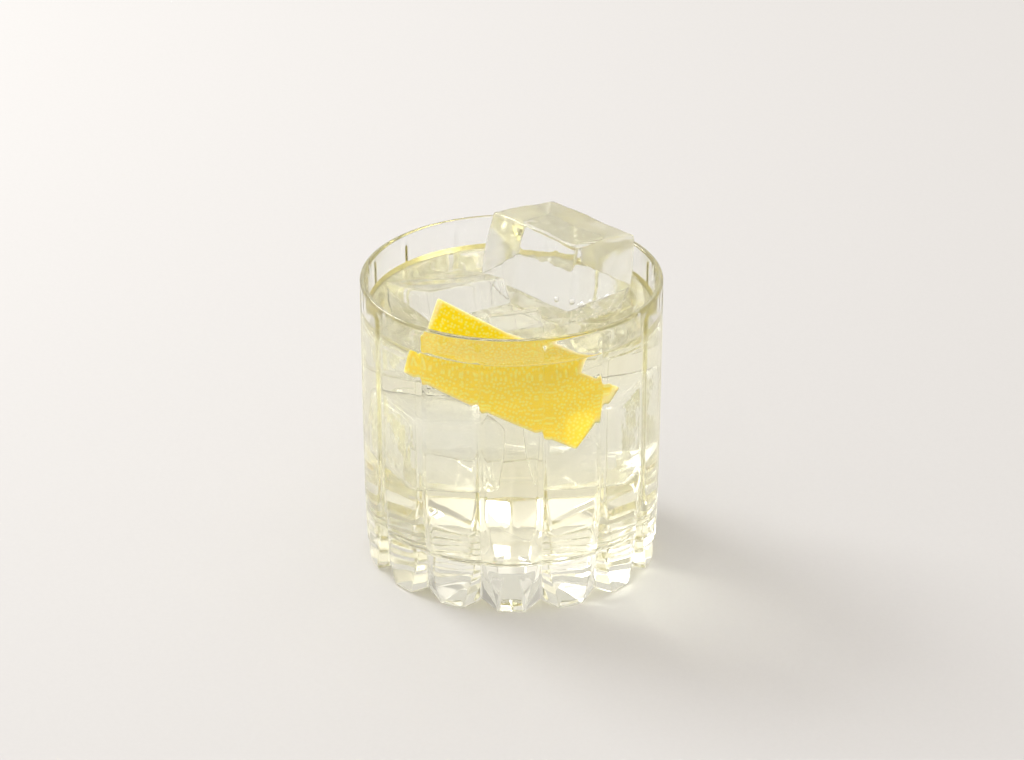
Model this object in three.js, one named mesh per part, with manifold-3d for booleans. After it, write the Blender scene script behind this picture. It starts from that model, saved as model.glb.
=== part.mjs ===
// Americano cocktail in a round rocks tumbler: a clear glass with fifteen upright panels,
// filled with a pale yellow drink, three blocks of clear ice and a strip of lemon peel.
// Millimetres, +Z up. The origin is the centre of the foot, on the surface it stands on,
// and -Y is the front.
import * as THREE from "three";
import { mergeVertices } from "three/addons/utils/BufferGeometryUtils.js";
import { RoundedBoxGeometry } from "three/addons/geometries/RoundedBoxGeometry.js";
import Module from "manifold-3d";

const wasm = await Module();
wasm.setup();

// Tumbler
const HEIGHT = 83;
const RIM_RADIUS = 41.5;
const BODY_RADIUS = 41.2;
const FOOT_RADIUS = 40.6;
const CREASE_HEIGHT = 15.5;
const RIM_THICKNESS = 1.7;
const FLOOR_HEIGHT = 12.5;
const FLOOR_DISH = 0.6;
const FLOOR_CORNER_RADIUS = 5;
const BORE_RADIUS_AT_LEVEL = 39.4;
const BORE_RADIUS_AT_FLOOR = 38.4;

// Panels and the grooves between them. A groove's depth falls with the square of the distance
// to its shoulder, along a line on its flank at a share of its half width.
const PANELS = 15;
const PITCH = (2 * Math.PI) / PANELS;
const GROOVE_TOP = 81.2;
const GROOVE_FADE = 2.4;
const GROOVE_DEPTH = 0.43;
const GROOVE_HALF_WIDTH = 2.2;
const GROOVE_FLANK = 0.45;
const FLARE_TOP = 29;
const CREASE_GROOVE_DEPTH = 1.6;
const CREASE_GROOVE_HALF_WIDTH = 5.2;
const FOOT_GROOVE_DEPTH = 1.75;
const FOOT_GROOVE_HALF_WIDTH = 5;
const FOOT_SHOULDER = 0.6;
const FOOT_NOTCH_HEIGHT = 2.7;
const STAR_INNER_RADIUS = 9;
const STAR_INNER_SHARE = 0.12;

// Drink
const LEVEL = 74;
const GAP = 0.3;

// Lemon peel: a strip bent along its length, longer along its upper edge than along its
// lower one, leaning back from the front wall
const PEEL = {
  upperLength: 52.6,
  lowerLength: 47.4,
  width: 19.6,
  thickness: 2,
  edgeShare: 0.6,
  bendRadius: 130,
  centre: [-0.8, -23.2, 64.2],
  heading: -13.3,
  dip: 23,
  tilt: 65.6,
};

// Ice blocks: how much wider they are at mid height than at their ends, then each block's
// width, depth and height, the lean of its lower end, and the centre of its top face with its
// turn about +Z and its two slopes in degrees
const ICE_SWELL = 0.05;
const ICE_BLOCKS = {
  ice_back: {
    size: [33.1, 23.6, 31],
    rounding: 1,
    lean: [-1.8, 1.5],
    topCentre: [14.4, 17.1, 91],
    turn: -46.7,
    slopes: [0, -9.1],
  },
  ice_left: {
    size: [25.6, 24.4, 23],
    rounding: 1.2,
    lean: [0, 1],
    topCentre: [-18.4, 7.8, 77.9],
    turn: -59.6,
    slopes: [-15.8, -2.8],
  },
  ice_front: {
    size: [14.5, 7.5, 15],
    rounding: 1,
    lean: [0, 0],
    topCentre: [1.2, -12.6, 75.6],
    turn: 16,
    slopes: [-2, 20],
  },
};

const rad = THREE.MathUtils.degToRad;
const mix = THREE.MathUtils.lerp;

// Value at x on the straight lines between neighbouring [x, value] stops.
function along(stops, x) {
  for (let i = 1; i < stops.length; i++) {
    const [x0, v0] = stops[i - 1];
    const [x1, v1] = stops[i];
    if (x <= x1) return mix(v0, v1, Math.max(0, (x - x0) / (x1 - x0)));
  }
  return stops[stops.length - 1][1];
}

function boreRadius(z) {
  const slope = (BORE_RADIUS_AT_LEVEL - BORE_RADIUS_AT_FLOOR) / (LEVEL - FLOOR_HEIGHT);
  return BORE_RADIUS_AT_LEVEL + slope * (z - LEVEL);
}

// Half section of the bore from its mouth down to the axis, moved inwards by an offset:
// the wall, the round corner and the slightly dished floor.
function boreSection(top, offset) {
  const corner = FLOOR_CORNER_RADIUS - offset;
  const cornerZ = FLOOR_HEIGHT + FLOOR_CORNER_RADIUS;
  const cornerR = boreRadius(cornerZ) - FLOOR_CORNER_RADIUS;
  const points = [];
  for (const z of [top, mix(top, cornerZ, 0.5)]) {
    points.push(new THREE.Vector2(boreRadius(z) - offset, z));
  }
  const steps = 5;
  for (let i = 0; i <= steps; i++) {
    const a = (Math.PI / 2) * (i / steps);
    points.push(
      new THREE.Vector2(cornerR + corner * Math.cos(a), cornerZ - corner * Math.sin(a)),
    );
  }
  points.push(new THREE.Vector2(0, FLOOR_HEIGHT + offset - FLOOR_DISH));
  return points;
}

// Section of the tumbler, from the axis under the foot, up the outside, over the rim and
// down the bore to the axis again. Each point says which surface it belongs to.
function tumblerSection() {
  const section = [];
  const under = [0, STAR_INNER_RADIUS, 17, 25, 32, 37];
  for (const r of under) section.push({ r, z: 0, face: "under" });
  const outside = [0, 3, 6, 9.5, 12.5, CREASE_HEIGHT, 17.5, 20.5, 24, FLARE_TOP, 45, 62];
  outside.push(GROOVE_TOP - GROOVE_FADE, GROOVE_TOP - GROOVE_FADE / 2, GROOVE_TOP);
  for (const z of outside) {
    const r = along(
      [[0, FOOT_RADIUS], [CREASE_HEIGHT, BODY_RADIUS], [HEIGHT, RIM_RADIUS]],
      z,
    );
    section.push({ r, z, face: "outside" });
  }
  const lip = RIM_THICKNESS / 2;
  const steps = 6;
  for (let i = 0; i <= steps; i++) {
    const a = Math.PI * (i / steps);
    section.push({
      r: RIM_RADIUS - lip + lip * Math.cos(a),
      z: HEIGHT - lip + lip * Math.sin(a),
      face: "bore",
    });
  }
  for (const p of boreSection(LEVEL, 0)) section.push({ r: p.x, z: p.y, face: "bore" });
  return section;
}

// Depth of a groove, and half its width, at height z on the outside.
function grooveAt(z) {
  const fade = THREE.MathUtils.clamp((GROOVE_TOP - z) / GROOVE_FADE, 0, 1);
  return {
    depth: fade * along(
      [[0, FOOT_GROOVE_DEPTH], [CREASE_HEIGHT, CREASE_GROOVE_DEPTH], [FLARE_TOP, GROOVE_DEPTH]],
      z,
    ),
    halfWidth: along(
      [
        [0, FOOT_GROOVE_HALF_WIDTH + FOOT_SHOULDER],
        [CREASE_HEIGHT, CREASE_GROOVE_HALF_WIDTH],
        [FLARE_TOP, GROOVE_HALF_WIDTH],
      ],
      z,
    ),
  };
}

// Columns of vertices across half a panel, counted from the groove: its valley, a line on
// its flank, its shoulder, one between, and the middle of the panel. Each is given as its
// distance from the valley and its share of the groove's depth.
function grooveColumns(halfWidth, flank, flankShare, halfPitch) {
  return [
    [0, 1],
    [flank, flankShare],
    [halfWidth, 0],
    [mix(halfWidth, halfPitch, 0.5), 0],
    [halfPitch, 0],
  ];
}

// The tumbler is a lathe of its section with eight columns of vertices to a panel. Each
// vertex then moves round to its column's place and inwards, or upwards on the underside,
// by the depth of the groove there.
function makeTumbler() {
  const section = tumblerSection();
  const perPanel = 8;
  const geometry = new THREE.LatheGeometry(
    section.map((p) => new THREE.Vector2(p.r, p.z)),
    PANELS * perPanel,
  );
  const position = geometry.getAttribute("position");
  for (let column = 0; column <= PANELS * perPanel; column++) {
    const inPanel = column % perPanel;
    const fromGroove = Math.min(inPanel, perPanel - inPanel);
    const side = inPanel > perPanel / 2 ? -1 : 1;
    const groove = (column - side * fromGroove) / perPanel - 0.5;
    section.forEach((p, row) => {
      const rimFlank = GROOVE_FLANK * GROOVE_HALF_WIDTH;
      let columns = grooveColumns(GROOVE_HALF_WIDTH, rimFlank, 0, (PITCH * RIM_RADIUS) / 2);
      let scale = RIM_RADIUS;
      let { r, z } = p;
      if (p.face === "outside") {
        const { depth, halfWidth } = grooveAt(z);
        const low = Math.max(0, 1 - z / CREASE_HEIGHT);
        const flank = mix(GROOVE_FLANK * halfWidth, FOOT_GROOVE_HALF_WIDTH, low);
        const share = mix((1 - flank / halfWidth) ** 2, 0, low);
        columns = grooveColumns(halfWidth, flank, share, (PITCH * p.r) / 2);
        scale = p.r;
        r -= depth * columns[fromGroove][1];
        if (low > 0) {
          const nearValley = Math.max(0, 1 - columns[fromGroove][0] / FOOT_GROOVE_HALF_WIDTH);
          z += FOOT_NOTCH_HEIGHT * low * nearValley;
        }
      } else if (p.face === "under" && p.r > 0) {
        const spread = Math.max(0, (p.r - STAR_INNER_RADIUS) / (FOOT_RADIUS - STAR_INNER_RADIUS));
        const halfPitch = (PITCH * p.r) / 2;
        const halfWidth = mix(STAR_INNER_SHARE * halfPitch, FOOT_GROOVE_HALF_WIDTH, spread);
        const shoulder = halfWidth + FOOT_SHOULDER * spread + 0.02;
        columns = grooveColumns(shoulder, halfWidth, 0, halfPitch);
        scale = p.r;
        if (fromGroove === 0) z += FOOT_NOTCH_HEIGHT * spread;
      }
      const azimuth = groove * PITCH + (side * columns[fromGroove][0]) / scale;
      const index = column * section.length + row;
      position.setXYZ(index, r * Math.sin(azimuth), -r * Math.cos(azimuth), z);
    });
  }
  return closed(geometry);
}

// A block of ice: a round-edged box, narrower at the top than lower down, with its lower
// end carried sideways by the lean. "grow" makes the same block larger all round.
function makeIce({ size, rounding, lean, topCentre, turn, slopes }, grow = 0) {
  const [width, depth, height] = size;
  const geometry = new RoundedBoxGeometry(
    width + 2 * grow,
    depth + 2 * grow,
    height + 2 * grow,
    2,
    rounding + grow,
  );
  geometry.translate(0, 0, -height / 2);
  const position = geometry.getAttribute("position");
  for (let i = 0; i < position.count; i++) {
    const down = -position.getZ(i) / height;
    const swell = 1 + ICE_SWELL * Math.sin(Math.PI * THREE.MathUtils.clamp(down, 0, 1));
    position.setXYZ(
      i,
      position.getX(i) * swell + lean[0] * down,
      position.getY(i) * swell + lean[1] * down,
      position.getZ(i),
    );
  }
  geometry.applyMatrix4(
    placement(topCentre, rad(turn), rad(slopes[0]), rad(slopes[1])),
  );
  return closed(geometry);
}

// The peel strip: a round-edged slab, its upper edge the longer, bent so that its ends curve
// back from the front.
function makePeel(grow = 0) {
  const { upperLength, lowerLength, width, thickness, edgeShare, bendRadius } = PEEL;
  const length = (upperLength + lowerLength) / 2;
  const flare = (upperLength - lowerLength) / length;
  const geometry = new THREE.BoxGeometry(
    length + 2 * grow,
    width + 2 * grow,
    thickness + 2 * grow,
    22,
    8,
    2,
  );
  const position = geometry.getAttribute("position");
  for (let i = 0; i < position.count; i++) {
    const y = position.getY(i);
    const z = position.getZ(i);
    const edge = Math.max(Math.abs(2 * position.getX(i)) / length, Math.abs(2 * y) / width);
    const x = position.getX(i) * (1 + (flare * y) / width);
    const thin = edge > 0.999 ? edgeShare : 1;
    position.setXYZ(i, x, y, z * thin - (x * x) / (2 * bendRadius));
  }
  const { centre, heading, dip, tilt } = PEEL;
  geometry.applyMatrix4(placement(centre, rad(heading), rad(dip), rad(tilt)));
  return closed(geometry);
}

// Turn about X, then Y, then Z, then the move to the place.
function placement([x, y, z], aboutZ, aboutY, aboutX) {
  const turn = new THREE.Euler(aboutX, aboutY, aboutZ, "ZYX");
  return new THREE.Matrix4().makeRotationFromEuler(turn).setPosition(x, y, z);
}

// The geometry with its shared vertices merged, as a solid.
function closed(geometry) {
  geometry.deleteAttribute("normal");
  geometry.deleteAttribute("uv");
  const merged = mergeVertices(geometry, 1e-4);
  return new wasm.Manifold(
    new wasm.Mesh({
      numProp: 3,
      vertProperties: merged.getAttribute("position").array,
      triVerts: new Uint32Array(merged.index.array),
    }),
  );
}

function geometryOf(solid) {
  const mesh = solid.getMesh();
  const geometry = new THREE.BufferGeometry();
  geometry.setAttribute("position", new THREE.BufferAttribute(mesh.vertProperties, 3));
  geometry.setIndex(new THREE.BufferAttribute(mesh.triVerts, 1));
  geometry.computeVertexNormals();
  return geometry;
}

// The drink fills the bore up to its level, with the ice and the peel cut out of it.
function makeDrink() {
  const section = boreSection(LEVEL, GAP).reverse();
  section.push(new THREE.Vector2(0, LEVEL));
  const geometry = new THREE.LatheGeometry(section, 72);
  geometry.rotateX(Math.PI / 2);
  let drink = closed(geometry);
  for (const block of Object.values(ICE_BLOCKS)) drink = drink.subtract(makeIce(block, GAP));
  return drink.subtract(makePeel(GAP));
}

function named(name, solid, material) {
  const mesh = new THREE.Mesh(geometryOf(solid), new THREE.MeshStandardMaterial(material));
  mesh.name = name;
  return mesh;
}

const GLASS = { color: 0xf4f4ef, roughness: 0.02, metalness: 0, transparent: true, opacity: 0.3 };
const DRINK = { color: 0xf0e6a8, roughness: 0.05, metalness: 0, transparent: true, opacity: 0.6 };
const ICE = { color: 0xf2f1ea, roughness: 0.12, metalness: 0, transparent: true, opacity: 0.5 };
const ZEST = { color: 0xf6d22a, roughness: 0.5, metalness: 0 };

const cocktail = new THREE.Group();
cocktail.add(named("tumbler", makeTumbler(), GLASS));
cocktail.add(named("drink", makeDrink(), DRINK));
for (const [name, block] of Object.entries(ICE_BLOCKS)) {
  cocktail.add(named(name, makeIce(block), ICE));
}
cocktail.add(named("lemon_peel", makePeel(), ZEST));

export default cocktail;
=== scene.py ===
"""Americano cocktail in a clear rocks tumbler with upright panels: pale yellow drink, clear ice
and a strip of lemon peel, on a plain pale floor. Metres, +Z up, -Y the front."""

import math

import bpy
import numpy as np
from bpy.props import FloatProperty, FloatVectorProperty, IntProperty, PointerProperty
from bpy.types import Operator, Panel, PropertyGroup
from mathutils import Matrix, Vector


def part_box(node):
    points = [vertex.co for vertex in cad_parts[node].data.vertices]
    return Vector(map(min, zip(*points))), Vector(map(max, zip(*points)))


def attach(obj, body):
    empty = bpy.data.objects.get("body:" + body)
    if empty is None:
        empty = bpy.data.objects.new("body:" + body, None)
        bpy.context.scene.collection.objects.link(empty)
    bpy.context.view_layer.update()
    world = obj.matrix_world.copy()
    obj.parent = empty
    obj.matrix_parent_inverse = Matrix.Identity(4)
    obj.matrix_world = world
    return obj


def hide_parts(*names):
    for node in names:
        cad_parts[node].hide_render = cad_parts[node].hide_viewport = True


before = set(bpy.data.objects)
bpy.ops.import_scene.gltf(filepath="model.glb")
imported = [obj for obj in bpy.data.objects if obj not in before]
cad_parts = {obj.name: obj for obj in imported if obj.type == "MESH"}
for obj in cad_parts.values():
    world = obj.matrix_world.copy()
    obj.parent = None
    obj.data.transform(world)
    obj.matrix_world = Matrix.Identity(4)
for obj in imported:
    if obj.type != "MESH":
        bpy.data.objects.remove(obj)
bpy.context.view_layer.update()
_, rim_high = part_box("tumbler")
_, drink_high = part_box("drink")

bl_info = {
    "name": "Americano Cocktail",
    "version": (1, 0, 0),
    "blender": (4, 5, 0),
    "location": "3D View > Sidebar > Cocktail",
    "description": "Builds a filled rocks tumbler with ice and a strip of lemon peel",
    "category": "Add Mesh",
}


def size(name, description, default):
    return FloatProperty(name=name, description=description, default=default, min=0.0, unit="LENGTH")


def colour(name, description, default):
    return FloatVectorProperty(
        name=name, description=description, default=default, min=0.0, max=1.0, size=4, subtype="COLOR"
    )


def amount(name, description, default):
    return FloatProperty(name=name, description=description, default=default, min=0.0)


class TumblerSettings(PropertyGroup):
    height: size("Height", "Foot to rim", rim_high[2])
    rim_radius: size("Rim radius", "Outside radius at the rim", rim_high[1])
    body_radius: size("Body radius", "Outside radius at the crease above the foot", 0.0412)
    foot_radius: size("Foot radius", "Radius of the foot at the middle of a panel", 0.0406)
    crease_height: size("Crease height", "Height where the panels turn in to the foot", 0.0155)
    rim_thickness: size("Rim thickness", "Thickness of the round lip", 0.0017)
    floor_height: size("Floor height", "Height of the bore's floor at its edge", 0.0125)
    floor_dish: size("Floor dish", "How far the floor sinks to its middle", 0.0006)
    corner_radius: size("Corner radius", "Radius between the bore's wall and floor", 0.005)
    bore_at_level: size("Bore at the level", "Bore radius at the drink's level", 0.0394)
    bore_at_floor: size("Bore at the floor", "Bore radius at floor height", 0.0384)
    panels: IntProperty(name="Panels", description="Upright panels round the glass", default=15, min=3)
    groove_depth: size("Groove depth", "Depth of a groove on the wall", 0.00043)
    groove_half_width: size("Groove half width", "Half the width of a groove on the wall", 0.0022)
    flare_top: size("Flare top", "Height where the grooves start to widen", 0.029)
    crease_groove_depth: size("Groove depth at the crease", "Depth of a groove at the crease", 0.0016)
    crease_groove_half: size("Groove half width at the crease", "Half width at the crease", 0.0052)
    foot_groove_depth: size("Groove depth at the foot", "Depth of a groove at the foot", 0.00175)
    foot_groove_half: size("Groove half width at the foot", "Half width at the foot", 0.005)
    notch_height: size("Notch height", "Height of the notches between the foot's petals", 0.0027)
    star_inner: size("Star inner radius", "Where the cuts under the foot begin", 0.009)
    tint: colour("Glass tint", "Colour of the glass", (0.985, 0.99, 0.985, 1.0))
    depth_tint: colour("Depth tint", "Colour that thick glass lets through", (0.66, 0.66, 0.4, 1.0))
    depth_strength: amount("Depth strength", "How strongly thick glass colours light", 4.6)


class DrinkSettings(PropertyGroup):
    level: size("Level", "Height of the drink's surface", drink_high[2])
    meniscus: size("Meniscus", "How far the drink climbs the wall", 0.0009)
    absorption: colour("Drink colour", "Colour the drink lets through", (0.95, 0.86, 0.22, 1.0))
    strength: amount("Strength", "How strongly the drink colours light", 5.0)


class IceSettings(PropertyGroup):
    cloud: colour("Ice colour", "Colour of the ice", (0.98, 0.985, 0.98, 1.0))
    wobble: size("Wobble", "How far melting has moved the faces", 0.00015)


class PeelSettings(PropertyGroup):
    upper_length: size("Upper length", "Length along the upper edge", 0.0526)
    lower_length: size("Lower length", "Length along the lower edge", 0.0474)
    width: size("Width", "Width of the strip", 0.0196)
    thickness: size("Thickness", "Thickness of the strip", 0.002)
    bend_radius: size("Bend radius", "Radius the strip is bent to along its length", 0.13)
    zest: colour("Zest", "Colour of the outer skin", (1.0, 0.745, 0.005, 1.0))
    gland: colour("Oil glands", "Colour of the oil glands in the skin", (1.0, 0.89, 0.17, 1.0))
    pith: colour("Pith", "Colour of the inner skin", (0.93, 0.88, 0.66, 1.0))


class StageSettings(PropertyGroup):
    floor: colour("Floor", "Colour of the floor", (0.545, 0.54, 0.535, 1.0))
    floor_size: size("Floor size", "Width of the floor", 6.0)


MM = 0.001

# Small details of the tumbler, and the share of a panel that a cut takes where the star begins
FOOT_FILLET = 0.5 * MM
FOOT_SHOULDER = 0.6 * MM
WALL_FLANK = 0.5 * MM
GROOVE_END_BELOW_RIM = 1.8 * MM
GROOVE_FADE = 2.4 * MM
BORE_START_BELOW_RIM = 2.2 * MM
STAR_INNER_SHARE = 0.12

# How far the drink reaches into the glass, over what distance its edge climbs, how high its
# ripples are, how far from the wall they are full, and how many columns go round it
DRINK_INTO_GLASS = 0.25 * MM
MENISCUS_REACH = 1.3 * MM
RIPPLE_HEIGHT = 0.12 * MM
RIPPLE_REACH = 6 * MM
DRINK_COLUMNS = 240

# Under the surface by less than the first, a point is still part of the surface. A face lower
# than the second is wetted by the glass or the ice.
SURFACE_SLACK = 0.1 * MM
WETTED_BELOW = 0.3 * MM

# Each block's size, rounding of its edges, lean of its lower end, centre of its top face,
# turn about Z, and the slopes of that face in degrees, about Y and about X
ICE = {
    "ice_back": (
        (0.0331, 0.0236, 0.031), 0.001, (-0.0018, 0.0015), (0.0144, 0.0171, 0.091), -46.7, (0, -9.1)
    ),
    "ice_left": (
        (0.0256, 0.0244, 0.023), 0.0012, (0, 0.001), (-0.0184, 0.0078, 0.0779), -59.6, (-15.8, -2.8)
    ),
    "ice_front": ((0.0145, 0.0075, 0.015), 0.001, (0, 0), (0.0012, -0.0126, 0.0756), 16, (-2, 20)),
}
SUNK_ICE = {
    "ice_sunk_left": ((0.025, 0.023, 0.022), 0.0025, (0.001, 0), (-0.0165, -0.0085, 0.0505), 20, (5, 4)),
    "ice_sunk_right": ((0.026, 0.025, 0.026), 0.0025, (0, 0.001), (0.0175, -0.005, 0.054), -18, (-5, 6)),
    "ice_sunk_deep": ((0.022, 0.020, 0.019), 0.0025, (0, 0), (-0.004, 0.0225, 0.045), 40, (3, -6)),
}
ICE_SWELL = 0.05
ICE_STEPS = 36
CAVITY_STEPS = 24
CAVITY_INSET = 0.06 * MM

# Clusters of small bubbles: how many, their least and largest radius, middle and reach
BUBBLES = (
    (70, (0.0003, 0.0009), (0.0235, -0.001, 0.0728), (0.010, 0.010, 0.0006)),
    (60, (0.00012, 0.00035), (-0.018, -0.011, 0.0545), (0.0045, 0.003, 0.003)),
    (40, (0.00012, 0.0004), (0.014, -0.012, 0.046), (0.006, 0.003, 0.006)),
)

# The peel's middle, its turn about Z, and its slopes about Y and about X
PEEL_PLACE = ((-0.0008, -0.0232, 0.0642), -13.3, (23, 65.6))
PEEL_ROUNDING = 0.45 * MM
PEEL_STEPS = (110, 42, 8)
PEEL_WAVE = 0.12 * MM
PALE_EDGE = 0.9 * MM

# Refractive indices
GLASS_INDEX = 1.5
DRINK_INDEX = 1.34
ICE_INDEX = 1.31
BUBBLE_INDEX = 0.75
SKIN_INDEX = 1.2

# The point by the glass's axis that the camera looks at, how far off it is and how steeply it
# looks down. Its lens comes from the photograph's focal length in pixels.
CAMERA_TARGET = (0.00013, 0.0, 0.050915)
CAMERA_DISTANCE = 1.0316
CAMERA_DOWN = math.radians(26.389)
FOCAL_PIXELS = 3722.1
PHOTO_WIDTH = 1024
SENSOR_WIDTH = 36.0

# The floor lies this far under the foot
FLOOR_GAP = 0.3 * MM

# The room's light: its colour, the way its bright side lies, and how bright it is from the
# dim side to the bright one, by the cosine of the angle to that way
ROOM_TONE = (1.0, 0.955, 0.91, 1.0)
BRIGHT_WAY = (-0.30, 0.12, 0.94)
ROOM_FADE = {"From Min": 0.15, "From Max": 0.95, "To Min": 0.5, "To Max": 1.66}
WINDOW_PLACE = (-0.68, 0.52, 0.74)
WINDOW_TARGET = (0.0, 0.0, 0.03)
WINDOW_WIDTH = 0.45
WINDOW_POWER = 6.6
WINDOW_TONE = (0.97, 0.985, 1.0)

# Light goes round many times inside the grooved glass before it leaves
LIGHT_BOUNCES = 192


def ramp(x, soft):
    """max(x, 0) with its corner rounded: half of x + sqrt(x^2 + soft^2)."""
    return 0.5 * (x + np.sqrt(x * x + soft * soft))


def bent_line(stops, x, soft):
    """Straight lines through the stops with rounded corners: the first line, plus at each stop
    the change of slope times ramp(x - stop). It is level beyond both ends."""
    places = np.array([s[0] for s in stops])
    values = np.array([s[1] for s in stops])
    slopes = np.concatenate([[0.0], np.diff(values) / np.diff(places), [0.0]])
    total = np.full_like(x, values[0], dtype=float)
    for place, change in zip(places, np.diff(slopes)):
        total = total + change * ramp(x - place, soft)
    return total


def bore_radius(s, z):
    """The bore's radius at height z: a straight taper through its two named radii."""
    slope = (s.bore_at_level - s.bore_at_floor) / (drink_high[2] - s.floor_height)
    return s.bore_at_level + slope * (z - drink_high[2])


def bore_section(s, top, offset, wall_steps=14, corner_steps=14, floor_steps=10):
    """Section of the bore from height top down to the axis, moved inwards by offset: the
    tapered wall, a quarter circle, and a floor that sinks as a quarter cosine to the axis."""
    corner_z = s.floor_height + s.corner_radius
    corner_r = bore_radius(s, corner_z) - s.corner_radius
    wall_z = np.linspace(top, corner_z, wall_steps, endpoint=False)
    a = np.linspace(0.0, math.pi / 2, corner_steps, endpoint=False)
    turn_radius = s.corner_radius - offset
    floor_r = np.linspace(corner_r, 0.0, floor_steps)
    sink = s.floor_dish * 0.5 * (1 + np.cos(math.pi * floor_r / corner_r))
    r = np.concatenate([bore_radius(s, wall_z) - offset, corner_r + turn_radius * np.cos(a), floor_r])
    z = np.concatenate([wall_z, corner_z - turn_radius * np.sin(a), s.floor_height + offset - sink])
    return r, z


def ring_faces(rows, columns):
    """Quads between neighbouring rings of a closed grid, row by row, seam included."""
    row, column = np.meshgrid(np.arange(rows - 1), np.arange(columns), indexing="ij")
    after = (column + 1) % columns
    this, above = row * columns, (row + 1) * columns
    return np.stack([this + column, this + after, above + after, above + column], axis=-1).reshape(-1, 4)


def mesh_object(name, vertices, faces, smooth=True):
    """A mesh object from an array of vertices and a list of face arrays."""
    mesh = bpy.data.meshes.new(name)
    mesh.from_pydata(vertices.tolist(), [], [f for block in faces for f in block.tolist()])
    mesh.polygons.foreach_set("use_smooth", np.full(len(mesh.polygons), smooth))
    mesh.update()
    obj = bpy.data.objects.new(name, mesh)
    bpy.context.scene.collection.objects.link(obj)
    return obj


def shell_of_rings(name, x, y, z):
    """A closed shell from rings of points, rows by columns, whose first and last rows are each
    one point on the axis: quads between rings, and a fan of triangles at each pole."""
    rows, columns = x.shape
    inner = slice(1, rows - 1)
    rings = np.stack([x[inner], y[inner], z[inner]], axis=-1).reshape(-1, 3)
    poles = np.array([[x[0, 0], y[0, 0], z[0, 0]], [x[-1, 0], y[-1, 0], z[-1, 0]]])
    vertices = np.concatenate([rings, poles])
    count = len(rings)
    column = np.arange(columns)
    after = (column + 1) % columns
    first = np.stack([np.full(columns, count), after, column], axis=-1)
    last_row = (rows - 3) * columns
    last = np.stack([np.full(columns, count + 1), last_row + column, last_row + after], axis=-1)
    return mesh_object(name, vertices, [ring_faces(rows - 2, columns), first, last])


def column_places(first, second, half):
    """Distances from the valley of the columns over half a panel, packed close to the valley,
    the line on the flank and the shoulder, and wide apart between them."""
    close = np.array([0.0, 0.06, 0.2, 0.5, 0.8, 0.94])
    wide = np.array([0.0, 0.03, 0.1, 0.25, 0.5, 0.75, 1.0])
    flank = first * close
    shoulder = first + (second - first) * close
    panel = second + (half - second) * wide
    return np.concatenate([flank, shoulder, panel], axis=1)


def round_cut(distance, width, soft):
    """A V cut one deep at distance 0 and nothing from width outwards, with its valley and its
    shoulder rounded."""
    rounded = np.sqrt(distance * distance + soft * soft) - soft
    return np.maximum(0.0, ramp(1.0 - rounded / width, soft / width) - 0.5 * soft / width)


def wall_heights(s):
    """Heights of the rings up the outside, close together round the notches, the crease, the
    start of the flare and the end of the grooves, and wide apart between them."""
    return np.concatenate([
        np.linspace(FOOT_FILLET, 4 * MM, 8)[1:],
        np.linspace(4.6 * MM, s.crease_height - 1 * MM, 13),
        np.linspace(s.crease_height - 0.7 * MM, s.crease_height + 0.7 * MM, 9),
        np.linspace(s.crease_height + 1.2 * MM, s.flare_top + 1 * MM, 16),
        np.linspace(s.flare_top + 3 * MM, s.height - 5 * MM, 14),
        np.linspace(s.height - 4.5 * MM, s.height - 1.5 * MM, 9),
    ])


def grooved_wall(s, pitch, r, z):
    """The outside at each ring's radius and height, over half a panel: the radius less the
    groove's depth times its cut. The cut is a straight flank out of the valley, then a round
    shoulder that falls off with the square of the distance to its end. Below the crease the
    flank widens along a line that crosses the petal, and the valley rises into a notch."""
    r, z = r[:, None], z[:, None]
    low = np.clip(1 - z / s.crease_height, 0, 1)
    depths = [
        (0.0, s.foot_groove_depth),
        (s.crease_height, s.crease_groove_depth),
        (s.flare_top, s.groove_depth),
    ]
    fade = np.clip((s.height - GROOVE_END_BELOW_RIM - z) / GROOVE_FADE, 0, 1)
    depth = bent_line(depths, z, 0.4 * MM) * fade
    widths = [
        (0.0, s.foot_groove_half + FOOT_SHOULDER),
        (s.crease_height, s.crease_groove_half),
        (s.flare_top, s.groove_half_width),
    ]
    width = bent_line(widths, z, 0.4 * MM)
    flank = WALL_FLANK + (s.foot_groove_half - WALL_FLANK) * low
    share = (1 - flank / width) ** 2 * (1 - low)
    places = column_places(flank, width, pitch * r / 2)
    soft = 0.2 * MM
    rounded = np.sqrt(places * places + soft * soft) - soft
    valley = 1 - (1 - share) * rounded / flank
    shoulder = share * np.clip((width - places) / (width - flank), 0, 1) ** 2
    blend = ramp(valley - shoulder, 0.04) * np.clip((width - places) / soft, 0, 1)
    cut = np.where(places < width, shoulder + blend, 0)
    lift = s.notch_height * low * round_cut(places, s.foot_groove_half, 0.15 * MM)
    return r - depth * cut, z + lift, places, r


def star_cut(s, pitch, r):
    """The underside at each ring's radius, over half a panel: cuts that start at the star's
    inner radius and grow in depth and height with the distance from it, up to the notches."""
    r = r[:, None]
    spread = np.clip((r - s.star_inner) / (s.foot_radius - s.star_inner), 0, 1)
    half = pitch * r / 2
    flank = STAR_INNER_SHARE * half + (s.foot_groove_half - STAR_INNER_SHARE * half) * spread
    places = column_places(flank, flank + FOOT_SHOULDER * spread + 0.02 * half, half)
    cut = round_cut(places, np.maximum(flank, 1e-6), 0.12 * MM)
    shrink = s.foot_groove_depth * spread ** 2
    return r - shrink * cut, s.notch_height * spread * cut, places, np.maximum(r, 1e-6)


def round_wall(s, pitch, r, z):
    """A wall without grooves, on the same columns as the grooved one has at the rim."""
    r, z = r[:, None], z[:, None]
    rim = np.full_like(r, s.rim_radius)
    places = column_places(0 * rim + WALL_FLANK, 0 * rim + s.groove_half_width, pitch * rim / 2)
    return r + 0 * places, z + 0 * places, places, rim


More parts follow.
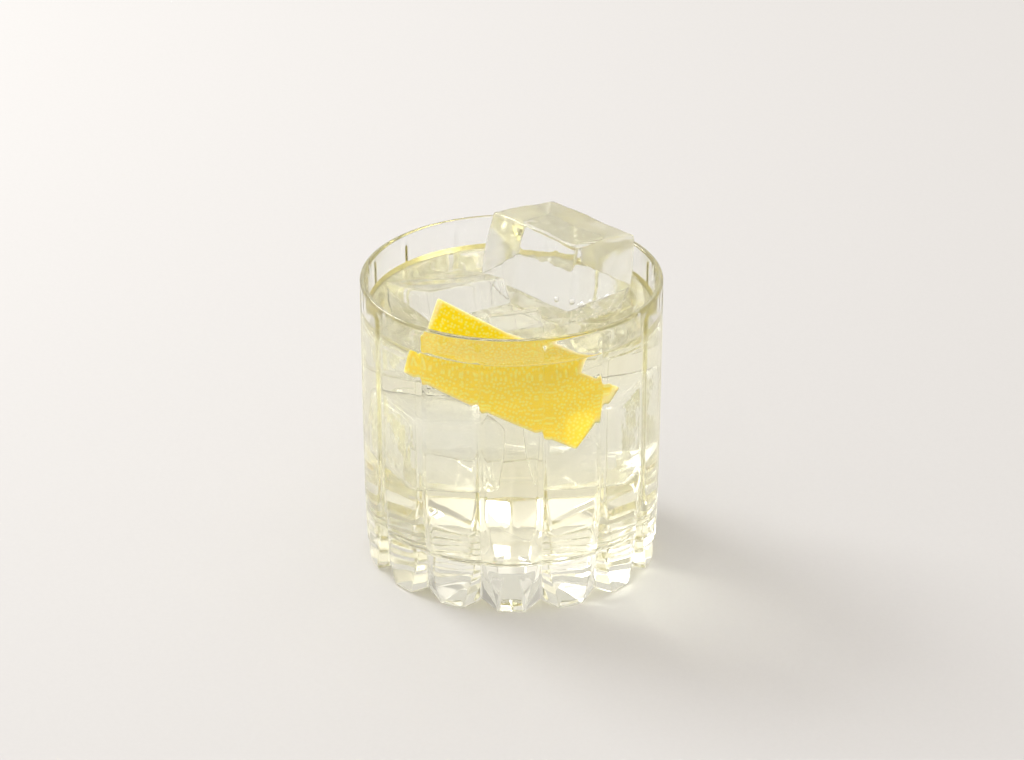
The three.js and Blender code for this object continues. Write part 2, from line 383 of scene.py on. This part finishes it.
def tumbler_rings(s):
    """Rings of the tumbler, from the axis under the foot, out along the star of cuts, round the
    foot, up the panels, over the lip and down the bore. Half a panel is mirrored about its
    valley and repeated round the glass."""
    pitch = 2 * math.pi / s.panels
    lip = s.rim_thickness / 2
    cuts_r = np.linspace(s.star_inner + 1 * MM, s.foot_radius - FOOT_FILLET, 24)
    under_r = np.concatenate([[0.0], np.linspace(1.5 * MM, s.star_inner, 6), cuts_r])
    a = np.linspace(0.15, math.pi / 2, 5)
    corner_r, corner_z = s.foot_radius - FOOT_FILLET * (1 - np.sin(a)), FOOT_FILLET * (1 - np.cos(a))
    heights = wall_heights(s)
    stops = [(0.0, s.foot_radius), (s.crease_height, s.body_radius), (s.height, s.rim_radius)]
    wall_r = bent_line(stops, heights, 0.3 * MM)
    b = np.linspace(0.0, math.pi, 17)
    lip_r, lip_z = s.rim_radius - lip + lip * np.cos(b), s.height - lip + lip * np.sin(b)
    bore_r, bore_z = bore_section(s, s.height - BORE_START_BELOW_RIM, 0.0)
    parts = [
        star_cut(s, pitch, under_r),
        grooved_wall(s, pitch, corner_r, corner_z),
        grooved_wall(s, pitch, wall_r, heights),
        round_wall(s, pitch, lip_r, lip_z),
        round_wall(s, pitch, bore_r, bore_z),
    ]
    r, z, places = (np.concatenate([part[i] for part in parts]) for i in range(3))
    turn = places / np.concatenate([part[3] + 0 * part[2] for part in parts])
    # one groove's columns, from the middle of one panel to just before the middle of the next
    r, z = (np.concatenate([half[:, :0:-1], half[:, :-1]], axis=1) for half in (r, z))
    turn = np.concatenate([-turn[:, :0:-1], turn[:, :-1]], axis=1)
    grooves = (np.arange(s.panels) + 0.5) * pitch
    azimuth = (grooves[None, :, None] + turn[:, None, :]).reshape(len(r), -1)
    r, z = np.tile(r, (1, s.panels)), np.tile(z, (1, s.panels))
    return r * np.sin(azimuth), -r * np.cos(azimuth), z


def drink_rings(s, d):
    """Rings of the drink, from the axis on the floor, up the wall and over the surface to the
    axis. It reaches just into the glass, and its surface climbs to the wall as the meniscus
    times exp(-distance / reach), with faint ripples as products of sines away from it."""
    r, z = bore_section(s, d.level + d.meniscus, -DRINK_INTO_GLASS)
    r, z = r[::-1], z[::-1]
    edge = r[-1]
    top_r = edge * (1 - np.linspace(0, 1, 46)[1:] ** 1.7)
    azimuth = np.linspace(0, 2 * math.pi, DRINK_COLUMNS, endpoint=False)[None, :]
    gap = np.maximum(0.0, bore_radius(s, d.level) - top_r)
    top_z = d.level + d.meniscus * np.exp(-gap / MENISCUS_REACH)
    r = np.concatenate([r, top_r])[:, None] + 0 * azimuth
    z = np.concatenate([z, top_z])[:, None] + 0 * azimuth
    x, y = r * np.sin(azimuth), -r * np.cos(azimuth)
    calm = np.clip((edge - r) / RIPPLE_REACH, 0, 1) * (z > d.level - SURFACE_SLACK)
    ripple = np.sin(x * 310 + 1.3) * np.sin(y * 270 + 0.4) + 0.6 * np.sin(x * 520 - y * 430)
    return x, y, z + RIPPLE_HEIGHT * calm * ripple


def box_lattice(counts):
    """Points over the surface of a cube from -1 to 1, each face an even grid with the given
    counts along x, y and z, and its quads. Points that faces share are welded."""
    points, quads, start = [], [], 0
    grid = [np.linspace(-1, 1, count + 1) for count in counts]
    for axis in range(3):
        first, second = (axis + 1) % 3, (axis + 2) % 3
        u, v = np.meshgrid(grid[first], grid[second], indexing="ij")
        i, j = np.meshgrid(np.arange(counts[first]), np.arange(counts[second]), indexing="ij")
        columns = counts[second] + 1
        corner = i * columns + j
        quad = np.stack([corner, corner + columns, corner + columns + 1, corner + 1], axis=-1).reshape(-1, 4)
        for side in (-1, 1):
            face = np.empty(u.shape + (3,))
            face[..., axis], face[..., first], face[..., second] = side, u, v
            quads.append(start + (quad if side > 0 else quad[:, ::-1]))
            points.append(face.reshape(-1, 3))
            start += u.size
    points, quads = np.concatenate(points), np.concatenate(quads)
    keys, index = np.unique(np.round(points, 6), axis=0, return_inverse=True)
    return keys, index.reshape(-1)[quads]


def rounded_box(lattice, half, rounding):
    """The lattice as a box with round edges: each point is clamped to the box inside the
    rounding, then pushed out by the rounding along the way it was clamped."""
    full = lattice * half
    core = np.clip(full, -(half - rounding), half - rounding)
    out = full - core
    length = np.linalg.norm(out, axis=1, keepdims=True)
    return core + rounding * out / length, out / length


def placed(points, centre, about_z, about_y, about_x):
    """The points turned about X, then Y, then Z, and moved to the centre."""
    x, y, z = (math.radians(v) for v in (about_x, about_y, about_z))
    turn_x = np.array([[1, 0, 0], [0, math.cos(x), -math.sin(x)], [0, math.sin(x), math.cos(x)]])
    turn_y = np.array([[math.cos(y), 0, math.sin(y)], [0, 1, 0], [-math.sin(y), 0, math.cos(y)]])
    turn_z = np.array([[math.cos(z), -math.sin(z), 0], [math.sin(z), math.cos(z), 0], [0, 0, 1]])
    return points @ (turn_z @ turn_y @ turn_x).T + np.array(centre)


def ice_points(block, steps, wobble, grow, seed):
    """A block of ice: a rounded box hung from its top face, swollen at mid height, leaning at
    its lower end, with faces moved in and out by a sum of slow waves of the given wobble."""
    dimensions, rounding, lean, top, turn, slopes = block
    lattice, quads = box_lattice((steps, steps, steps))
    half = np.array(dimensions) / 2 + grow
    points, normals = rounded_box(lattice, half, rounding + grow)
    height = dimensions[2]
    points[:, 2] -= height / 2
    down = -points[:, 2] / height
    swell = 1 + ICE_SWELL * np.sin(math.pi * np.clip(down, 0, 1))
    points[:, 0] = points[:, 0] * swell + lean[0] * down
    points[:, 1] = points[:, 1] * swell + lean[1] * down
    x, y, z = (points / MM).T
    waves = (
        np.sin(0.21 * x + 0.17 * y + seed) * np.cos(0.23 * z - 0.12 * y + 2 * seed)
        + 0.5 * np.sin(0.47 * x - 0.31 * z + 3 * seed) * np.cos(0.41 * y + seed)
        + 0.22 * np.sin(0.9 * y + 0.8 * z + seed) * np.cos(1.1 * x - seed)
    )
    points = points + normals * (wobble * waves)[:, None]
    return placed(points, top, turn, slopes[0], slopes[1]), quads


def cut_out(obj, tools):
    """The object with the tool objects cut out of it; the tools are removed."""
    for tool in tools:
        cut = obj.modifiers.new("cut", "BOOLEAN")
        cut.operation, cut.solver, cut.object = "DIFFERENCE", "EXACT", tool
    bpy.context.view_layer.update()
    solid = bpy.data.meshes.new_from_object(obj.evaluated_get(bpy.context.evaluated_depsgraph_get()))
    obj.modifiers.clear()
    obj.data = solid
    if not len(solid.polygons):
        raise RuntimeError("The cut left nothing of " + obj.name)
    for tool in tools:
        bpy.data.objects.remove(tool)
    obj.data.polygons.foreach_set("use_smooth", np.full(len(obj.data.polygons), True))


class Nodes:
    """A small helper that lays out one material's nodes."""

    def __init__(self, name):
        self.material = bpy.data.materials.new(name)
        self.material.use_nodes = True
        self.tree = self.material.node_tree
        self.shader = self.tree.nodes["Principled BSDF"]
        self.output = self.tree.nodes["Material Output"]
        self.place = self.tree.nodes.new("ShaderNodeTexCoord").outputs["Object"]

    def node(self, kind, values=None, **settings):
        made = self.tree.nodes.new("ShaderNode" + kind)
        for key, value in settings.items():
            setattr(made, key, value)
        for key, value in (values or {}).items():
            if isinstance(value, bpy.types.NodeSocket):
                self.tree.links.new(value, made.inputs[key])
            else:
                made.inputs[key].default_value = value
        return made

    def noise(self, scale, detail, roughness=0.5):
        """Noise over the object's own coordinates, as a value."""
        values = {"Vector": self.place, "Scale": scale, "Detail": detail, "Roughness": roughness}
        return self.node("TexNoise", values).outputs["Fac"]

    def spread(self, value, low, high, to_low=0.0, to_high=1.0):
        """The value remapped from low..high to to_low..to_high, held at the ends."""
        values = {"Value": value, "From Min": low, "From Max": high, "To Min": to_low, "To Max": to_high}
        return self.node("MapRange", values).outputs["Result"]

    def mixed(self, factor, first, second):
        """The first colour where the factor is 0, the second where it is 1."""
        made = self.node("Mix", data_type="RGBA")
        self.tree.links.new(factor, made.inputs["Factor"])
        for index, value in ((6, first), (7, second)):
            if isinstance(value, bpy.types.NodeSocket):
                self.tree.links.new(value, made.inputs[index])
            else:
                made.inputs[index].default_value = value
        return made.outputs[2]

    def bump(self, height, strength, distance):
        made = self.node("Bump", {"Height": height, "Strength": strength, "Distance": distance})
        self.link(made.outputs["Normal"], "Normal")

    def set(self, **values):
        """Sets the shader's own sockets, named with _ for a space."""
        for key, value in values.items():
            self.shader.inputs[key.replace("_", " ")].default_value = value

    def link(self, output, name):
        self.tree.links.new(output, self.shader.inputs[name])

    def coloured_inside(self, tone, strength):
        """Takes colour out of the light on its way through the piece."""
        volume = self.node("VolumeAbsorption", {"Color": tone, "Density": strength})
        self.tree.links.new(volume.outputs["Volume"], self.output.inputs["Volume"])

    def wet_where_marked(self):
        """Where the attribute wetted is 1, the same shader without the reflection of a face in air.
        One material holds both, so that the colour inside ends wherever light leaves the piece."""
        wet = self.tree.nodes.new("ShaderNodeBsdfPrincipled")
        for name in ("Base Color", "Roughness", "IOR", "Transmission Weight"):
            wet.inputs[name].default_value = self.shader.inputs[name].default_value
        for link in list(self.tree.links):
            if link.to_node == self.shader:
                self.tree.links.new(link.from_socket, wet.inputs[link.to_socket.name])
        wet.inputs["Specular IOR Level"].default_value = 0.0
        wetted = self.node("Attribute", attribute_name="wetted").outputs["Fac"]
        both = self.node("MixShader", {0: wetted, 1: self.shader.outputs[0], 2: wet.outputs[0]})
        self.tree.links.new(both.outputs[0], self.output.inputs["Surface"])


def clear_glass(s):
    """Pressed glass, with the faint long waves that pressing leaves in the surface. It is faintly
    olive where it is thick."""
    n = Nodes("pressed_glass")
    n.set(Base_Color=s.tint, Roughness=0.0, IOR=GLASS_INDEX, Transmission_Weight=1.0)
    n.bump(n.noise(60.0, 2.0), 0.03, 0.001)
    n.wet_where_marked()
    n.coloured_inside(s.depth_tint, s.depth_strength)
    return n.material


def pale_drink(d):
    """The drink: clear liquid that takes blue out of the light on its way through."""
    n = Nodes("pale_drink")
    n.set(Base_Color=(1, 1, 1, 1), Roughness=0.0, IOR=DRINK_INDEX, Transmission_Weight=1.0)
    n.bump(n.noise(90.0, 2.0), 0.04, 0.001)
    n.wet_where_marked()
    n.coloured_inside(d.absorption, d.strength)
    return n.material


def wet_ice(name, tint, clear, sunk):
    """Wet ice: glassy but a little cloudy, with melt ripples and faintly frosted patches. Sunk
    ice hardly reflects, because drink lies against it all round."""
    n = Nodes(name)
    n.set(Base_Color=tint, IOR=ICE_INDEX, Transmission_Weight=clear)
    n.link(n.spread(n.noise(70.0, 4.0), 0.4, 0.7, 0.01, 0.16), "Roughness")
    n.bump(n.noise(110.0, 4.0, 0.6), 0.13, 0.001)
    if sunk:
        n.set(Specular_IOR_Level=0.1)
    else:
        n.wet_where_marked()
    return n.material


def citrus_peel(p):
    """Lemon peel: golden skin dotted with paler oil glands, and cream pith on the inside."""
    n = Nodes("citrus_peel")
    depth = n.node("Attribute", attribute_name="pith").outputs["Fac"]
    flat = n.node("Attribute", attribute_name="flat_place").outputs["Vector"]
    cells = {"Vector": flat, "Scale": 950.0, "Randomness": 0.75}
    from_gland = n.node("TexVoronoi", cells, voronoi_dimensions="2D").outputs["Distance"]
    gland = n.spread(from_gland, 0.1, 0.42, 1.0, 0.0)
    skin = n.mixed(gland, tuple(p.zest), tuple(p.gland))
    n.link(n.mixed(depth, skin, tuple(p.pith)), "Base Color")
    n.set(Roughness=0.42, IOR=SKIN_INDEX)
    n.set(Subsurface_Weight=0.25, Subsurface_Radius=(0.002, 0.0012, 0.0004), Subsurface_Scale=1.0)
    n.bump(from_gland, 0.25, 0.0004)
    return n.material


def plain_floor(tone):
    """The floor: a pale matt surface with a very fine speckle."""
    n = Nodes("pale_floor")
    speckle = n.spread(n.noise(900.0, 2.0), 0.3, 0.7)
    darker = tuple(c * 0.985 for c in tone[:3]) + (1.0,)
    n.link(n.mixed(speckle, darker, tuple(tone)), "Base Color")
    n.set(Roughness=0.75)
    return n.material


def face_values(obj, name):
    """The centre or the normal of every face, as an array."""
    values = np.empty(3 * len(obj.data.polygons))
    obj.data.polygons.foreach_get(name, values)
    return values.reshape(-1, 3)


def mark_wetted(obj, wetted):
    """Marks with 1 the faces that lie against the liquid, or against what holds it."""
    layer = obj.data.attributes.new("wetted", "FLOAT", "FACE")
    layer.data.foreach_set("value", wetted.astype(np.float32))


def finish(obj, material, slot, *nodes):
    """Gives the piece its material, ties it to the root body that also holds the glass, and hides the named
    parts. The slot is not used.
    """
    obj.data.materials.clear()
    obj.data.materials.append(material)
    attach(obj, "root")
    if nodes:
        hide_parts(*nodes)


class COCKTAIL_OT_tumbler(Operator):
    """Build the tumbler with its panels, grooves and star-cut foot"""

    bl_idname = "cocktail.tumbler"
    bl_label = "Tumbler"

    def execute(self, context):
        s = context.scene.tumbler
        glass = shell_of_rings("rocks_tumbler", *tumbler_rings(s))
        finish(glass, clear_glass(s), "glass", "tumbler")
        # wetted: the bore's wall and floor, up to the level
        centre, normal = face_values(glass, "center"), face_values(glass, "normal")
        inward = (centre[:, :2] * normal[:, :2]).sum(axis=1) < 0
        wetted = (inward | (normal[:, 2] > 0.5)) & (centre[:, 2] < drink_high[2])
        mark_wetted(glass, wetted)
        return {"FINISHED"}


class COCKTAIL_OT_drink(Operator):
    """Fill the tumbler with the drink, cut round the ice"""

    bl_idname = "cocktail.drink"
    bl_label = "Drink"

    def execute(self, context):
        s, d, i = context.scene.tumbler, context.scene.drink, context.scene.ice
        drink = shell_of_rings("poured_drink", *drink_rings(s, d))
        tools = []
        for seed, (name, block) in enumerate((ICE | SUNK_ICE).items()):
            points, quads = ice_points(block, CAVITY_STEPS, i.wobble, -CAVITY_INSET, seed + 1.0)
            tools.append(mesh_object("cutter_" + name, points, [quads]))
        cut_out(drink, tools)
        finish(drink, pale_drink(d), "drink", "drink")
        mark_wetted(drink, face_values(drink, "center")[:, 2] < d.level - WETTED_BELOW)
        return {"FINISHED"}


class COCKTAIL_OT_ice(Operator):
    """Place the blocks of ice that stand out of the drink"""

    bl_idname = "cocktail.ice"
    bl_label = "Ice"

    def execute(self, context):
        i = context.scene.ice
        material = wet_ice("wet_ice", i.cloud, clear=0.94, sunk=False)
        for seed, (name, block) in enumerate(ICE.items()):
            points, quads = ice_points(block, ICE_STEPS, i.wobble, 0.0, seed + 1.0)
            piece = mesh_object(name + "_block", points, [quads])
            finish(piece, material, "ice", name)
            mark_wetted(piece, face_values(piece, "center")[:, 2] < drink_high[2])
        return {"FINISHED"}


class COCKTAIL_OT_sunk_ice(Operator):
    """Place the blocks of ice that are wholly sunk in the drink"""

    bl_idname = "cocktail.sunk_ice"
    bl_label = "Sunk ice"

    def execute(self, context):
        i = context.scene.ice
        material = wet_ice("sunk_ice", i.cloud, clear=0.98, sunk=True)
        for seed, (name, block) in enumerate(SUNK_ICE.items()):
            points, quads = ice_points(block, ICE_STEPS, i.wobble, 0.0, len(ICE) + seed + 1.0)
            finish(mesh_object(name, points, [quads]), material, "ice")
        return {"FINISHED"}


def bubble_shells(clusters, rings=7, columns=12):
    """Small closed spheres scattered in each cluster, denser towards its middle: each centre is
    the middle plus the reach times a normal random triple, each radius even between the two."""
    scatter = np.random.default_rng(7)
    counts = [c[0] for c in clusters]
    radius = np.concatenate([scatter.uniform(*c[1], c[0]) for c in clusters])
    middle = np.repeat([c[2] for c in clusters], counts, axis=0)
    reach = np.repeat([c[3] for c in clusters], counts, axis=0)
    centre = middle + reach * np.clip(scatter.normal(0, 0.5, reach.shape), -1, 1)
    tilt = np.linspace(0, math.pi, rings + 2)[1:-1, None]
    turn = np.linspace(0, 2 * math.pi, columns, endpoint=False)[None, :]
    x, y, z = np.sin(tilt) * np.cos(turn), np.sin(tilt) * np.sin(turn), np.cos(tilt) + 0 * turn
    ring = np.stack([x, y, z], axis=-1)
    ball = np.concatenate([ring.reshape(-1, 3), [[0, 0, 1], [0, 0, -1]]])
    column = np.arange(columns)
    after = (column + 1) % columns
    top, low = rings * columns, (rings - 1) * columns
    sides = ring_faces(rings, columns)[:, ::-1]
    upper_cap = np.stack([np.full(columns, top), column, after], axis=-1)
    lower_cap = np.stack([np.full(columns, top + 1), low + after, low + column], axis=-1)
    points = (centre[:, None] + radius[:, None, None] * ball).reshape(-1, 3)
    shift = (np.arange(len(radius)) * len(ball))[:, None, None]
    return points, [(shift + block).reshape(-1, block.shape[1]) for block in (sides, upper_cap, lower_cap)]


def bubble_air():
    """The inside of a bubble in the drink: light bends away at its skin."""
    n = Nodes("bubble_air")
    n.set(Base_Color=(1, 1, 1, 1), Roughness=0.0, IOR=BUBBLE_INDEX, Transmission_Weight=1.0)
    n.bump(n.noise(300.0, 1.0), 0.02, 0.0005)
    return n.material


class COCKTAIL_OT_bubbles(Operator):
    """Scatter the small bubbles under the surface and round the sunk ice"""

    bl_idname = "cocktail.bubbles"
    bl_label = "Bubbles"

    def execute(self, context):
        finish(mesh_object("drink_bubbles", *bubble_shells(BUBBLES)), bubble_air(), "drink")
        return {"FINISHED"}


def peel_strip(p):
    """A thin rounded box whose upper edge is longer than its lower one, waved by a sine along it
    times a cosine across it, and bent down by x^2 / (2 * bend radius). With its points come its
    faces, how far each point is pith, from none on the skin to all on the inner side and half
    at the outline, and each point's place on the flat strip."""
    lattice, quads = box_lattice(PEEL_STEPS)
    length = (p.upper_length + p.lower_length) / 2
    points, _ = rounded_box(lattice, np.array([length, p.width, p.thickness]) / 2, PEEL_ROUNDING)
    points[:, 0] *= 1 + (p.upper_length - p.lower_length) / length * points[:, 1] / p.width
    inner = np.clip((0.3 - points[:, 2] / p.thickness) / 0.3, 0, 1)
    past_edge = np.maximum(np.abs(points[:, 0]) - length / 2, np.abs(points[:, 1]) - p.width / 2)
    pith = np.maximum(inner, 0.5 * np.clip(1 + past_edge / PALE_EDGE, 0, 1))
    flat_place = points * (1, 1, 0)
    x, y = points[:, 0] / MM, points[:, 1] / MM
    points[:, 2] += PEEL_WAVE * np.sin(0.5 * x + 1.0) * np.cos(0.6 * y)
    points[:, 2] -= points[:, 0] ** 2 / (2 * p.bend_radius)
    return points, quads, pith, flat_place


class COCKTAIL_OT_peel(Operator):
    """Hang the strip of lemon peel behind the front wall"""

    bl_idname = "cocktail.peel"
    bl_label = "Lemon peel"

    def execute(self, context):
        p = context.scene.peel
        points, quads, pith, flat_place = peel_strip(p)
        centre, turn, slopes = PEEL_PLACE
        peel = mesh_object("lemon_peel_strip", placed(points, centre, turn, *slopes), [quads])
        layer = peel.data.attributes.new("pith", "FLOAT", "POINT")
        layer.data.foreach_set("value", pith.astype(np.float32))
        layer = peel.data.attributes.new("flat_place", "FLOAT_VECTOR", "POINT")
        layer.data.foreach_set("vector", flat_place.astype(np.float32).ravel())
        finish(peel, citrus_peel(p), "zest", "lemon_peel")
        return {"FINISHED"}


def aimed_light(name, place, target, width, power, tone):
    """A soft square light at a place, turned towards a target."""
    data = bpy.data.lights.new(name, "AREA")
    data.shape, data.size, data.energy, data.color = "SQUARE", width, power, tone
    lamp = bpy.data.objects.new(name, data)
    lamp.location = place
    way = np.array(target) - np.array(place)
    tilt, turn = math.atan2(math.hypot(way[0], way[1]), -way[2]), math.atan2(way[1], way[0])
    lamp.rotation_euler = (tilt, 0.0, turn - math.pi / 2)
    bpy.context.scene.collection.objects.link(lamp)


def soft_room():
    """A world whose light fades from its bright side to its dim side, by the cosine of the
    angle between the way looked and the bright way."""
    world = bpy.data.worlds.new("soft_room")
    world.use_nodes = True
    nodes, links = world.node_tree.nodes, world.node_tree.links
    background = nodes["Background"]
    background.inputs["Color"].default_value = ROOM_TONE
    facing = nodes.new("ShaderNodeVectorMath")
    facing.operation = "DOT_PRODUCT"
    links.new(nodes.new("ShaderNodeTexCoord").outputs["Generated"], facing.inputs[0])
    facing.inputs[1].default_value = BRIGHT_WAY
    fade = nodes.new("ShaderNodeMapRange")
    links.new(facing.outputs["Value"], fade.inputs["Value"])
    for name, value in ROOM_FADE.items():
        fade.inputs[name].default_value = value
    links.new(fade.outputs["Result"], background.inputs["Strength"])
    return world


def photo_camera():
    """A camera at the photograph's viewing angle and distance."""
    data = bpy.data.cameras.new("camera")
    data.sensor_width, data.lens = SENSOR_WIDTH, FOCAL_PIXELS / PHOTO_WIDTH * SENSOR_WIDTH
    data.clip_start, data.clip_end = 0.05, 20.0
    camera = bpy.data.objects.new("camera", data)
    away = np.array([0.0, -math.cos(CAMERA_DOWN), math.sin(CAMERA_DOWN)])
    camera.location = np.array(CAMERA_TARGET) + CAMERA_DISTANCE * away
    camera.rotation_euler = (math.pi / 2 - CAMERA_DOWN, 0.0, 0.0)
    bpy.context.scene.collection.objects.link(camera)
    return camera


class COCKTAIL_OT_stage(Operator):
    """Set up the plain floor, the soft lights and the camera"""

    bl_idname = "cocktail.stage"
    bl_label = "Stage"

    def execute(self, context):
        scene, t = context.scene, context.scene.stage
        reach = t.floor_size / 2
        around = ((-1, -1), (1, -1), (1, 1), (-1, 1))
        corners = np.array([[x * reach, y * reach, -FLOOR_GAP] for x, y in around])
        floor = mesh_object("floor", corners, [np.array([[0, 1, 2, 3]])], smooth=False)
        floor.data.materials.append(plain_floor(t.floor))
        scene.world = soft_room()
        aimed_light("window", WINDOW_PLACE, WINDOW_TARGET, WINDOW_WIDTH, WINDOW_POWER, WINDOW_TONE)
        scene.camera = photo_camera()
        scene.view_settings.view_transform = "Standard"
        scene.cycles.max_bounces = LIGHT_BOUNCES
        scene.cycles.transmission_bounces = LIGHT_BOUNCES
        scene.cycles.glossy_bounces = LIGHT_BOUNCES
        scene.cycles.transparent_max_bounces = 16
        scene.cycles.blur_glossy = 0.0
        return {"FINISHED"}


class COCKTAIL_PT_panel(Panel):
    """Lists the cocktail's pieces and their sizes and colours"""

    bl_idname = "COCKTAIL_PT_panel"
    bl_label = "Americano Cocktail"
    bl_space_type = "VIEW_3D"
    bl_region_type = "UI"
    bl_category = "Cocktail"

    def draw(self, context):
        layout = self.layout
        for operator, group in STEPS:
            layout.operator(operator.bl_idname)
            settings = getattr(context.scene, group)
            column = layout.column(align=True)
            for name in settings.bl_rna.properties.keys():
                if name not in {"rna_type", "name"}:
                    column.prop(settings, name)


SETTINGS = {
    "tumbler": TumblerSettings,
    "drink": DrinkSettings,
    "ice": IceSettings,
    "peel": PeelSettings,
    "stage": StageSettings,
}
STEPS = (
    (COCKTAIL_OT_tumbler, "tumbler"),
    (COCKTAIL_OT_drink, "drink"),
    (COCKTAIL_OT_ice, "ice"),
    (COCKTAIL_OT_sunk_ice, "ice"),
    (COCKTAIL_OT_bubbles, "drink"),
    (COCKTAIL_OT_peel, "peel"),
    (COCKTAIL_OT_stage, "stage"),
)


def register():
    for group, settings in SETTINGS.items():
        bpy.utils.register_class(settings)
        setattr(bpy.types.Scene, group, PointerProperty(type=settings))
    for operator, _ in STEPS:
        bpy.utils.register_class(operator)
    bpy.utils.register_class(COCKTAIL_PT_panel)


def unregister():
    bpy.utils.unregister_class(COCKTAIL_PT_panel)
    for operator, _ in reversed(STEPS):
        bpy.utils.unregister_class(operator)
    for group, settings in SETTINGS.items():
        delattr(bpy.types.Scene, group)
        bpy.utils.unregister_class(settings)


def main():
    register()
    bpy.ops.cocktail.tumbler()
    bpy.ops.cocktail.drink()
    bpy.ops.cocktail.ice()
    bpy.ops.cocktail.sunk_ice()
    bpy.ops.cocktail.bubbles()
    bpy.ops.cocktail.peel()
    bpy.ops.cocktail.stage()


if __name__ == "__main__":
    main()
